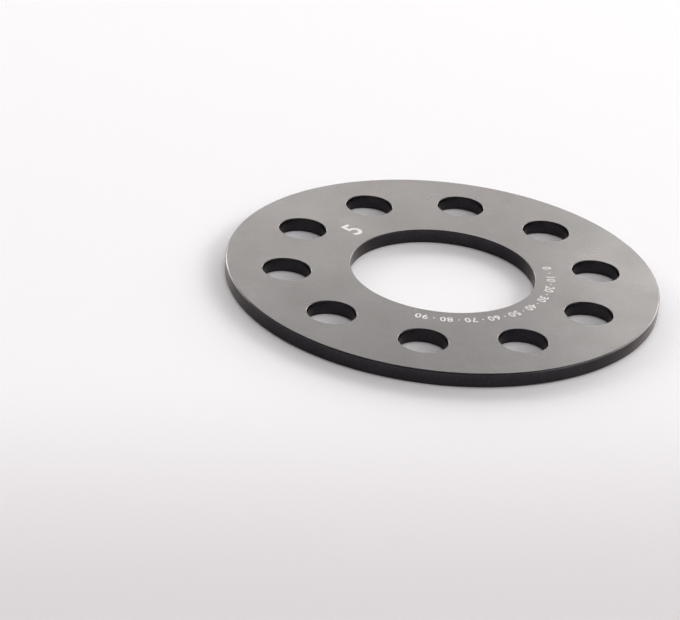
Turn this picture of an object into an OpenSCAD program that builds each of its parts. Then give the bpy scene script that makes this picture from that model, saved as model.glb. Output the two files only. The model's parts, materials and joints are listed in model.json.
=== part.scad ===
// Flat wheel spacer: one turned and drilled plate that sits between a wheel hub and a wheel.
// The origin is the centre of the hub bore on the hub-side face, and +Z points to the wheel.
// +Y runs through the centre of one bolt hole.

/* [Plate] */
// Outer diameter of the plate
plate_d = 148.5; // [140:0.5:170]
// Thickness of the plate, which is how far it moves the wheel outward
plate_t = 5; // [3:0.5:12]
// Width of the 45 degree chamfer on both outer edges
rim_chamfer = 0.4; // [0.2:0.1:1]

/* [Hub bore] */
// Diameter of the bore that centres the plate on the hub
hub_bore_d = 63.4; // [54:0.1:74]
// Width of the 45 degree chamfer on both edges of the bore
bore_chamfer = 0.2; // [0.2:0.1:1]

/* [Bolt holes] */
// Diameter of the circle through the hole centres
bolt_circle_d = 108; // [98:0.5:120]
// Number of holes, evenly spaced: ten of them take a five-bolt hub in two positions
bolt_hole_count = 10; // [5:1:12]
// Diameter of each hole
bolt_hole_d = 16.5; // [12:0.5:18]
// Width of the 45 degree chamfer on both edges of each hole
hole_chamfer = 0.2; // [0.2:0.1:1]

/* [Hidden] */

plate_r = plate_d / 2;
hub_bore_r = hub_bore_d / 2;
bolt_circle_r = bolt_circle_d / 2;
bolt_hole_r = bolt_hole_d / 2;
// The first hole lies on +Y
first_hole_angle = 90;
hole_step = 360 / bolt_hole_count;
// How far the hole cutter reaches past both faces
cut_past = 1;
anodised_black = [0.17, 0.17, 0.18];
$fn = 128;

// Half section of the ring between the hub bore and the rim, with its four chamfers
module plate_section() {
    polygon([
        [hub_bore_r + bore_chamfer, 0],
        [plate_r - rim_chamfer, 0],
        [plate_r, rim_chamfer],
        [plate_r, plate_t - rim_chamfer],
        [plate_r - rim_chamfer, plate_t],
        [hub_bore_r + bore_chamfer, plate_t],
        [hub_bore_r, plate_t - bore_chamfer],
        [hub_bore_r, bore_chamfer]
    ]);
}

// Half section of the cutter for one hole: a drill with a 45 degree flare through both faces
module hole_cutter_section() {
    flare_r = bolt_hole_r + hole_chamfer + cut_past;
    polygon([
        [0, -cut_past],
        [flare_r, -cut_past],
        [bolt_hole_r, hole_chamfer],
        [bolt_hole_r, plate_t - hole_chamfer],
        [flare_r, plate_t + cut_past],
        [0, plate_t + cut_past]
    ]);
}

// Ring of hole cutters on the bolt circle
module bolt_hole_cutters() {
    for (i = [0 : bolt_hole_count - 1])
        rotate([0, 0, first_hole_angle + i * hole_step])
            translate([bolt_circle_r, 0, 0])
                rotate_extrude() hole_cutter_section();
}

// The whole part: a turned ring with drilled and countersunk bolt holes
module spacer_plate() {
    color(anodised_black)
        difference() {
            rotate_extrude() plate_section();
            bolt_hole_cutters();
        }
}

spacer_plate();
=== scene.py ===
"""Looks of a flat wheel spacer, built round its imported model.

It adds the anodised finish, the etched numbers, the studio and the camera. Everything is in metres, in
the frame of the model: the hub bore's axis is Z, +Z is up and the plate lies on z = 0.
"""

import json
import math

import bmesh
import bpy
from mathutils import Matrix, Vector


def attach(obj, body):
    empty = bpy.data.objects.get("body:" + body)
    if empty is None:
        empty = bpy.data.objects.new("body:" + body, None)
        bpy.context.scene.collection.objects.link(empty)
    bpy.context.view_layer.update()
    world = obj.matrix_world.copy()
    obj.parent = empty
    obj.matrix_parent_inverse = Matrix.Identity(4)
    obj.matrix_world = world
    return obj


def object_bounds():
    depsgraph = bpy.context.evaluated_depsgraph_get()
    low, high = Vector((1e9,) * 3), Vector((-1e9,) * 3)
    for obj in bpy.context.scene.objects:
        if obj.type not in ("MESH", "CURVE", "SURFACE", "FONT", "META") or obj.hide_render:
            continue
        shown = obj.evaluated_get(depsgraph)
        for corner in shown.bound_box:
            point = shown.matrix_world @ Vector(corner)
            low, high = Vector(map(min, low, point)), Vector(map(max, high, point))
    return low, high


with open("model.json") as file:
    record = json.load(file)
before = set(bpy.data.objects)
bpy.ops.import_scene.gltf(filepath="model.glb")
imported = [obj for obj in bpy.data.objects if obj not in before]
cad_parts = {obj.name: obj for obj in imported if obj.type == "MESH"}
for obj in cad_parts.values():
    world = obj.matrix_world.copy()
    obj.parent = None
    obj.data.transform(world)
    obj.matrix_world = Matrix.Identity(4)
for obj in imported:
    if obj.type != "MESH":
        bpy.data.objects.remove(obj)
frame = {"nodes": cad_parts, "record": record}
cad_low, cad_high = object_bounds()

MM = 0.001

# Sizes taken from the frame
plate = frame["nodes"]["spacer_plate"]
plate_top = cad_high.z
mounts = {mount["name"]: mount for mount in frame["record"]["mounts"]}
bore_radius = mounts["hub_bore"]["dims"]["r_mm"] * MM

# Broken edges: those sharper than the angle are rounded, over this width on each side.
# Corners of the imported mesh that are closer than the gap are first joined.
EDGE_ROUND = 0.06 * MM
EDGE_SEGMENTS = 4
EDGE_ANGLE_DEG = 30.0
CORNER_GAP = 0.001 * MM

# Faces and walls are told apart by the normal's upright part. Chamfers, at 0.71, count as walls.
WALL_BELOW = 0.75
FACE_ABOVE = 0.98

# Uneven dye: faint clouds, and a change from pit to pit that has the larger share
DYE_CLOUD_WIDTH = 6.0 * MM
DYE_PIT_SHARE = 0.65

# Blasting pits of the faces, drawn several times their real width so that they show
PIT_WIDTH = 0.7 * MM
PIT_DEPTH = 0.012 * MM

# Tool rings of the turned walls
RING_PITCH = 0.25 * MM
RING_DEPTH = 0.0012 * MM

# Sheen of the faces: patches left by an uneven blast, and which layout of the noise draws them
SHEEN_PATCH_WIDTH = 22.0 * MM
SHEEN_PATCH_LAYOUT = 4.0
FACE_ROUGHNESS_LEAST = 0.265
FACE_ROUGHNESS_MOST = 0.345
WALL_ROUGHNESS = 0.25

# Nearly all of a noise lies between these values
NOISE_LOW = 0.3
NOISE_HIGH = 0.7

# Etched number scale: plain tens, clockwise in even steps, with a dot half way to the next
SCALE_START_DEG = 21.0
SCALE_STEP_DEG = 12.8
SCALE_LABELS = range(0, 100, 10)
SCALE_FOOT = bore_radius + 3.8 * MM
SCALE_HEIGHT = 3.1 * MM
SCALE_PITCH = 2.35 * MM
DOT_RADIUS = 0.32 * MM
DOT_SIDES = 20

# Large etched number, the plate's thickness in millimetres
BIG_NUMBER_DEG = 148.0
BIG_NUMBER_FOOT = bore_radius + 5.0 * MM
BIG_NUMBER_HEIGHT = 8.0 * MM

# Figures: how far their outline is thickened, as a share of the type size, and the steps of each curve.
# Points that are closer than the gap are joined.
FIGURE_THICKENING = 0.016
FIGURE_CURVE_STEPS = 6
SEAM_GAP = 0.0005 * MM

# The etched layer stands this far above the face and reaches this far into it
ETCH_PROUD = 0.012 * MM
ETCH_DEPTH = 0.05 * MM
# The beam's speckle is drawn several times its real width so that it shows
ETCH_SPECKLE_WIDTH = 0.25 * MM
ETCH_ROUGHNESS = 0.65

# Camera: where its axis meets the plate, its direction from there, and its lens
CAMERA_AIM = Vector((-29.90, -36.34, 2.5)) * MM
CAMERA_DISTANCE = 917.8 * MM
CAMERA_AZIMUTH_DEG = 6.13
CAMERA_ELEVATION_DEG = 26.75
CAMERA_ROLL_DEG = 5.65
CAMERA_LENS_MM = 146.8
CAMERA_SENSOR_MM = 36.0

# Floor, a hair's breadth under the plate so that the two don't share one plane
FLOOR_RADIUS = 6.0
FLOOR_SIDES = 96
FLOOR_GAP = 0.02 * MM
FLOOR_ROUGHNESS = 0.85
# The floor pales in this level direction, and its grey front is painted shade where the light falls off.
# The distances are along it, from the bore's axis.
FLOOR_PALES_TOWARDS = (-0.297, 0.955, 0.0)
FLOOR_GREY_UNTIL = -205 * MM
FLOOR_WHITE_FROM = -60 * MM

# Surround: an even fill on the object, and white in reflections that dims overhead between two elevations
FILL_LEVEL = 0.06
CEILING_LEVEL = 0.25
CEILING_FROM_DEG = 35.0
CEILING_FULL_DEG = 60.0

# Lamps, all of them this far from the middle of the plate
LAMP_DISTANCE = 8.0

# The Mix node has several sockets of each name, so these are told apart by number
MIX_FACTOR = 0
MIX_NUMBER_A = 2
MIX_NUMBER_B = 3
MIX_NUMBER_RESULT = 0
MIX_COLOUR_A = 6
MIX_COLOUR_B = 7
MIX_COLOUR_RESULT = 2


def linear(hex_colour):
    """An sRGB colour such as "#1f2021" as the linear RGBA that the shaders take."""
    channels = [int(hex_colour[i : i + 2], 16) / 255 for i in (1, 3, 5)]
    return [c / 12.92 if c <= 0.04045 else ((c + 0.055) / 1.055) ** 2.4 for c in channels] + [1.0]


def add_node(tree, kind, sockets=None, **settings):
    """Adds a shader node with its own settings.

    sockets gives each input that it names or numbers a value, or the output that feeds it.
    """
    made = tree.nodes.new("ShaderNode" + kind)
    for name, value in settings.items():
        setattr(made, name, value)
    for name, value in (sockets or {}).items():
        if isinstance(value, bpy.types.NodeSocket):
            tree.links.new(value, made.inputs[name])
        else:
            made.inputs[name].default_value = value
    return made


def new_material(name):
    """A new material and its node tree, which is empty."""
    material = bpy.data.materials.new(name)
    material.use_nodes = True
    material.node_tree.nodes.clear()
    return material, material.node_tree


def black_anodised_aluminium():
    """Turned aluminium, bead-blasted on its faces and dyed black in the anodising bath.

    To the eye it is a dark satin that greys where it mirrors the light at a low angle. The blasted faces
    are the softest, and their sheen varies a little from place to place. The turned walls and the broken
    edges are smoother, with faint rings from the tool. Their colour is a little lighter and more violet
    than the faces': a painted reflection of the pinkish floor.
    """
    material, tree = new_material("black_anodised_aluminium")
    place = add_node(tree, "TexCoord").outputs["Object"]
    height_on_wall = add_node(tree, "SeparateXYZ", {"Vector": place}).outputs["Z"]
    normal = add_node(tree, "NewGeometry").outputs["Normal"]
    normal_z = add_node(tree, "SeparateXYZ", {"Vector": normal}).outputs["Z"]
    upright = add_node(tree, "Math", {0: normal_z}, operation="ABSOLUTE").outputs["Value"]
    is_face = add_node(
        tree,
        "MapRange",
        {"Value": upright, "From Min": WALL_BELOW, "From Max": FACE_ABOVE},
        interpolation_type="SMOOTHSTEP",
    ).outputs["Result"]

    # The dye takes up a little unevenly, in faint clouds some millimetres wide and from pit to pit
    cloud = add_node(
        tree,
        "TexNoise",
        {"Vector": place, "Scale": 1 / DYE_CLOUD_WIDTH, "Detail": 3.0, "Roughness": 0.6},
    ).outputs["Fac"]
    pit = add_node(
        tree,
        "TexNoise",
        {"Vector": place, "Scale": 1 / PIT_WIDTH, "Detail": 2.0, "Roughness": 0.6},
    ).outputs["Fac"]
    uptake = add_node(
        tree,
        "Mix",
        {MIX_FACTOR: DYE_PIT_SHARE, MIX_NUMBER_A: cloud, MIX_NUMBER_B: pit},
        data_type="FLOAT",
    ).outputs[MIX_NUMBER_RESULT]
    paler = add_node(
        tree,
        "MapRange",
        {"Value": uptake, "From Min": NOISE_LOW, "From Max": NOISE_HIGH},
    ).outputs["Result"]
    face_dye = add_node(
        tree,
        "Mix",
        {MIX_FACTOR: paler, MIX_COLOUR_A: linear("#292a2c"), MIX_COLOUR_B: linear("#393a3c")},
        data_type="RGBA",
    ).outputs[MIX_COLOUR_RESULT]
    # Painted reflection: the walls' colour is lighter and more violet than the faces', standing in for the
    # pinkish floor that they mirror
    wall_dye_and_painted_reflection = add_node(
        tree,
        "Mix",
        {MIX_FACTOR: paler, MIX_COLOUR_A: linear("#2e2c2f"), MIX_COLOUR_B: linear("#3e3c3f")},
        data_type="RGBA",
    ).outputs[MIX_COLOUR_RESULT]
    colour = add_node(
        tree,
        "Mix",
        {MIX_FACTOR: is_face, MIX_COLOUR_A: wall_dye_and_painted_reflection, MIX_COLOUR_B: face_dye},
        data_type="RGBA",
    ).outputs[MIX_COLOUR_RESULT]

    # The blast was a little uneven, so the sheen varies over patches some centimetres wide
    patch = add_node(
        tree,
        "TexNoise",
        {
            "Vector": place,
            "W": SHEEN_PATCH_LAYOUT,
            "Scale": 1 / SHEEN_PATCH_WIDTH,
            "Detail": 1.0,
            "Roughness": 0.5,
        },
        noise_dimensions="4D",
    ).outputs["Fac"]
    face_roughness = add_node(
        tree,
        "MapRange",
        {
            "Value": patch,
            "From Min": NOISE_LOW,
            "From Max": NOISE_HIGH,
            "To Min": FACE_ROUGHNESS_LEAST,
            "To Max": FACE_ROUGHNESS_MOST,
        },
    ).outputs["Result"]
    # Blasted faces scatter more than turned walls
    roughness = add_node(
        tree,
        "MapRange",
        {"Value": is_face, "To Min": WALL_ROUGHNESS, "To Max": face_roughness},
    ).outputs["Result"]

    # Blasting pits on the faces and tool rings on the walls, as heights in metres
    pits = add_node(tree, "Math", {0: pit, 1: PIT_DEPTH}, operation="MULTIPLY").outputs["Value"]
    turn = add_node(
        tree,
        "Math",
        {0: height_on_wall, 1: math.tau / RING_PITCH},
        operation="MULTIPLY",
    ).outputs["Value"]
    wave = add_node(tree, "Math", {0: turn}, operation="SINE").outputs["Value"]
    rings = add_node(tree, "Math", {0: wave, 1: RING_DEPTH}, operation="MULTIPLY").outputs["Value"]
    relief = add_node(
        tree,
        "Mix",
        {MIX_FACTOR: is_face, MIX_NUMBER_A: rings, MIX_NUMBER_B: pits},
        data_type="FLOAT",
    ).outputs[MIX_NUMBER_RESULT]
    bump = add_node(tree, "Bump", {"Height": relief, "Strength": 1.0, "Distance": 1.0})

    # The oxide layer warms the reflection a little at a low angle
    surface = add_node(
        tree,
        "BsdfPrincipled",
        {
            "Base Color": colour,
            "Roughness": roughness,
            "Metallic": 1.0,
            "Specular Tint": linear("#fffaf6"),
            "Normal": bump.outputs["Normal"],
        },
    )
    add_node(tree, "OutputMaterial", {"Surface": surface.outputs["BSDF"]})
    return material


def break_edges(node):
    """Rounds the rims of the chamfers, as blasting does: split corners are joined, then rolled over."""
    join = node.modifiers.new("joined_corners", "WELD")
    join.merge_threshold = CORNER_GAP
    roll = node.modifiers.new("broken_edges", "BEVEL")
    roll.width = EDGE_ROUND
    roll.segments = EDGE_SEGMENTS
    roll.limit_method = "ANGLE"
    roll.angle_limit = math.radians(EDGE_ANGLE_DEG)
    roll.harden_normals = True


def laser_etched_aluminium():
    """Black anodising bleached by a laser, which leaves a pale oxide on the aluminium.

    To the eye it is a dry, pale grey that scatters light and has no metal gloss, with a fine speckle.
    """
    material, tree = new_material("laser_etched_aluminium")
    place = add_node(tree, "TexCoord").outputs["Object"]
    speckle = add_node(
        tree,
        "TexNoise",
        {"Vector": place, "Scale": 1 / ETCH_SPECKLE_WIDTH, "Detail": 2.0},
    )
    colour = add_node(tree, "ValToRGB", {"Fac": speckle.outputs["Fac"]})
    colour.color_ramp.elements[0].color = linear("#cfccc9")
    colour.color_ramp.elements[1].color = linear("#e2dfdc")
    surface = add_node(
        tree,
        "BsdfPrincipled",
        {"Base Color": colour.outputs["Color"], "Roughness": ETCH_ROUGHNESS},
    )
    add_node(tree, "OutputMaterial", {"Surface": surface.outputs["BSDF"]})
    return material


def matt_studio_floor():
    """Matt white sweep board: smooth, with next to no gloss, and painted greyer towards the front as shade
    where the light falls off.
    """
    material, tree = new_material("matt_studio_floor")
    place = add_node(tree, "TexCoord").outputs["Object"]
    distance = add_node(
        tree,
        "VectorMath",
        {0: place, 1: FLOOR_PALES_TOWARDS},
        operation="DOT_PRODUCT",
    ).outputs["Value"]
    # Painted shade: the colour greys towards the front
    paler = add_node(
        tree,
        "MapRange",
        {"Value": distance, "From Min": FLOOR_GREY_UNTIL, "From Max": FLOOR_WHITE_FROM},
        interpolation_type="SMOOTHSTEP",
    ).outputs["Result"]
    colour = add_node(
        tree,
        "Mix",
        {MIX_FACTOR: paler, MIX_COLOUR_A: linear("#dad4d6"), MIX_COLOUR_B: linear("#f5f2f3")},
        data_type="RGBA",
    ).outputs[MIX_COLOUR_RESULT]
    surface = add_node(tree, "BsdfPrincipled", {"Base Color": colour, "Roughness": FLOOR_ROUGHNESS})
    add_node(tree, "OutputMaterial", {"Surface": surface.outputs["BSDF"]})
    return material


def add_object(name, data):
    """Puts a new object with this mesh, curve, lamp or camera into the scene."""
    made = bpy.data.objects.new(name, data)
    bpy.context.scene.collection.objects.link(made)
    return made


def numeral_mesh(text):
    """A slab of one line of figures, 1 high and 1 thick.

    It is centred on x = 0, with its feet on y = 0 and half of its thickness on each side of z = 0.
    """
    outline = bpy.data.curves.new("numeral", "FONT")
    outline.body = text
    outline.align_x = "CENTER"
    outline.extrude = 0.5
    outline.offset = FIGURE_THICKENING
    outline.resolution_u = FIGURE_CURVE_STEPS
    holder = add_object("numeral", outline)
    mesh = bpy.data.meshes.new_from_object(holder.evaluated_get(bpy.context.evaluated_depsgraph_get()))
    bpy.data.objects.remove(holder)
    heights = [vertex.co.y for vertex in mesh.vertices]
    grow = 1 / (max(heights) - min(heights))
    mesh.transform(Matrix.Diagonal((grow, grow, 1, 1)) @ Matrix.Translation((0, -min(heights), 0)))
    return mesh


def on_face(angle, radius):
    """Place on the upper face: x runs clockwise, y points away from the bore and z up."""
    return Matrix.Rotation(angle - math.pi / 2, 4, "Z") @ Matrix.Translation((0, radius, plate_top))


def etched(unit_mesh, angle, radius, height):
    """Gives a unit slab its height and the etched layer's thickness, and lays it on the face."""
    thickness = ETCH_PROUD + ETCH_DEPTH
    middle = (ETCH_PROUD - ETCH_DEPTH) / 2
    size = Matrix.Translation((0, 0, middle)) @ Matrix.Diagonal((height, height, thickness, 1))
    unit_mesh.transform(on_face(angle, radius) @ size)
    return unit_mesh


def dot_mesh():
    """A round slab of radius 1 about the origin, 1 thick."""
    shape = bmesh.new()
    bmesh.ops.create_cone(shape, cap_ends=True, segments=DOT_SIDES, radius1=1, radius2=1, depth=1)
    mesh = bpy.data.meshes.new("dot")
    shape.to_mesh(mesh)
    shape.free()
    return mesh


def joined(name, meshes, material):
    """One object of several meshes, with the seams between their faces closed."""
    shape = bmesh.new()
    for mesh in meshes:
        shape.from_mesh(mesh)
    bmesh.ops.remove_doubles(shape, verts=shape.verts, dist=SEAM_GAP)
    bmesh.ops.recalc_face_normals(shape, faces=shape.faces)
    whole = bpy.data.meshes.new(name)
    shape.to_mesh(whole)
    shape.free()
    whole.materials.append(material)
    return add_object(name, whole)


def etched_number_scale(material):
    """Plain numbers from 0 in an arc beside the bore, figure by figure along it, and the dots between."""
    meshes = []
    middle = SCALE_FOOT + SCALE_HEIGHT / 2
    figure_turn = SCALE_PITCH / middle
    for step, label in enumerate(SCALE_LABELS):
        angle = math.radians(SCALE_START_DEG - step * SCALE_STEP_DEG)
        figures = str(label)
        for i, figure in enumerate(figures):
            turn = (i - (len(figures) - 1) / 2) * figure_turn
            meshes.append(etched(numeral_mesh(figure), angle - turn, SCALE_FOOT, SCALE_HEIGHT))
        if label != SCALE_LABELS[-1]:
            half_way = angle - math.radians(SCALE_STEP_DEG / 2)
            meshes.append(etched(dot_mesh(), half_way, middle, DOT_RADIUS))
    return joined("etched_number_scale", meshes, material)


def etched_big_number(material):
    """The plate's thickness as one large figure."""
    text = str(round(plate_top / MM))
    slab = etched(numeral_mesh(text), math.radians(BIG_NUMBER_DEG), BIG_NUMBER_FOOT, BIG_NUMBER_HEIGHT)
    return joined("etched_thickness_number", [slab], material)


def studio_floor():
    """A wide round floor at the plate's underside."""
    shape = bmesh.new()
    bmesh.ops.create_circle(shape, cap_ends=True, segments=FLOOR_SIDES, radius=FLOOR_RADIUS)
    mesh = bpy.data.meshes.new("studio_floor")
    shape.to_mesh(mesh)
    shape.free()
    mesh.materials.append(matt_studio_floor())
    floor = add_object("studio_floor", mesh)
    floor.location.z = cad_low.z - FLOOR_GAP


def softbox(name, direction_deg, size_deg, radiance, roll_deg=0.0):
    """A soft panel lamp that faces the plate and doesn't show itself to the camera.

    Its direction is an azimuth, from +Y towards +X, and an elevation. Its size is the width and the height
    that it fills as seen from the plate, and a roll lifts its left end. All of them are in degrees.
    """
    azimuth, elevation = (math.radians(angle) for angle in direction_deg)
    width, height = (2 * LAMP_DISTANCE * math.tan(math.radians(angle / 2)) for angle in size_deg)
    lamp = bpy.data.lights.new(name, "AREA")
    lamp.shape = "RECTANGLE"
    lamp.size = width
    lamp.size_y = height
    lamp.energy = radiance * math.pi * width * height
    panel = add_object(name, lamp)
    level = math.cos(elevation)
    towards = Vector((level * math.sin(azimuth), level * math.cos(azimuth), math.sin(elevation)))
    panel.location = towards * LAMP_DISTANCE
    roll = Matrix.Rotation(math.radians(roll_deg), 3, "Z")
    panel.rotation_euler = (towards.to_track_quat("Z", "Y").to_matrix() @ roll).to_euler()
    panel.visible_camera = False


def studio_world():
    """A white surround where it is seen directly or in a reflection, and an even fill elsewhere."""
    world = bpy.data.worlds.new("studio_world")
    bpy.context.scene.world = world
    world.use_nodes = True
    tree = world.node_tree
    tree.nodes.clear()
    path = add_node(tree, "LightPath")
    is_seen = path.outputs["Is Camera Ray"]
    for ray in ("Is Glossy Ray", "Is Transmission Ray"):
        either = add_node(tree, "Math", {0: is_seen, 1: path.outputs[ray]}, operation="MAXIMUM")
        is_seen = either.outputs["Value"]
    direction = add_node(tree, "TexCoord").outputs["Generated"]
    rise = add_node(tree, "SeparateXYZ", {"Vector": direction}).outputs["Z"]
    white_level = add_node(
        tree,
        "MapRange",
        {
            "Value": rise,
            "From Min": math.sin(math.radians(CEILING_FROM_DEG)),
            "From Max": math.sin(math.radians(CEILING_FULL_DEG)),
            "To Min": 1.0,
            "To Max": CEILING_LEVEL,
        },
        interpolation_type="SMOOTHSTEP",
    ).outputs["Result"]
    fill = add_node(tree, "Background", {"Color": linear("#ffffff"), "Strength": FILL_LEVEL})
    white = add_node(tree, "Background", {"Color": linear("#fdfbfc"), "Strength": white_level})
    surround = add_node(
        tree,
        "MixShader",
        {0: is_seen, 1: fill.outputs["Background"], 2: white.outputs["Background"]},
    )
    add_node(tree, "OutputWorld", {"Surface": surround.outputs["Shader"]})


def photo_camera():
    """The camera, on a line from its aim by azimuth and elevation, and rolled about that line."""
    azimuth = math.radians(CAMERA_AZIMUTH_DEG)
    elevation = math.radians(CAMERA_ELEVATION_DEG)
    level = math.cos(elevation)
    back = Vector((math.sin(azimuth) * level, -math.cos(azimuth) * level, math.sin(elevation)))
    lens = bpy.data.cameras.new("photo_camera")
    lens.lens = CAMERA_LENS_MM
    lens.sensor_width = CAMERA_SENSOR_MM
    camera = add_object("photo_camera", lens)
    roll = Matrix.Rotation(math.radians(CAMERA_ROLL_DEG), 3, "Z")
    turn = back.to_track_quat("Z", "Y").to_matrix() @ roll
    camera.matrix_world = Matrix.Translation(CAMERA_AIM + back * CAMERA_DISTANCE) @ turn.to_4x4()
    bpy.context.scene.camera = camera


# Finish of the plate
plate.material_slots[0].material = black_anodised_aluminium()
break_edges(plate)

# Etched numbers
etch = laser_etched_aluminium()
for piece in (etched_number_scale(etch), etched_big_number(etch)):
    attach(piece, "root")

# Studio
studio_floor()
studio_world()
# The two back lamps grey the face, and the tilted strips beside them draw bright lines at the rim's ends
softbox("left_softbox", direction_deg=(-24.8, 15.5), size_deg=(39.7, 30.0), radiance=4.6)
softbox("right_softbox", direction_deg=(14.4, 20.0), size_deg=(27.7, 23.5), radiance=7.9)
softbox("left_strip_lamp", direction_deg=(-51.0, 14.5), size_deg=(36.0, 15.0), radiance=4.8, roll_deg=39.0)
softbox("right_strip_lamp", direction_deg=(44.5, 18.0), size_deg=(48.0, 16.0), radiance=6.9, roll_deg=-39.0)
# The side lamp and the overhead lamp lighten the walls and the shadow in front of them
softbox("right_side_softbox", direction_deg=(100.0, 30.0), size_deg=(40.0, 30.0), radiance=2.4)
softbox("overhead_softbox", direction_deg=(0.0, 90.0), size_deg=(40.0, 40.0), radiance=2.0)
photo_camera()
bpy.context.scene.view_settings.view_transform = "Standard"
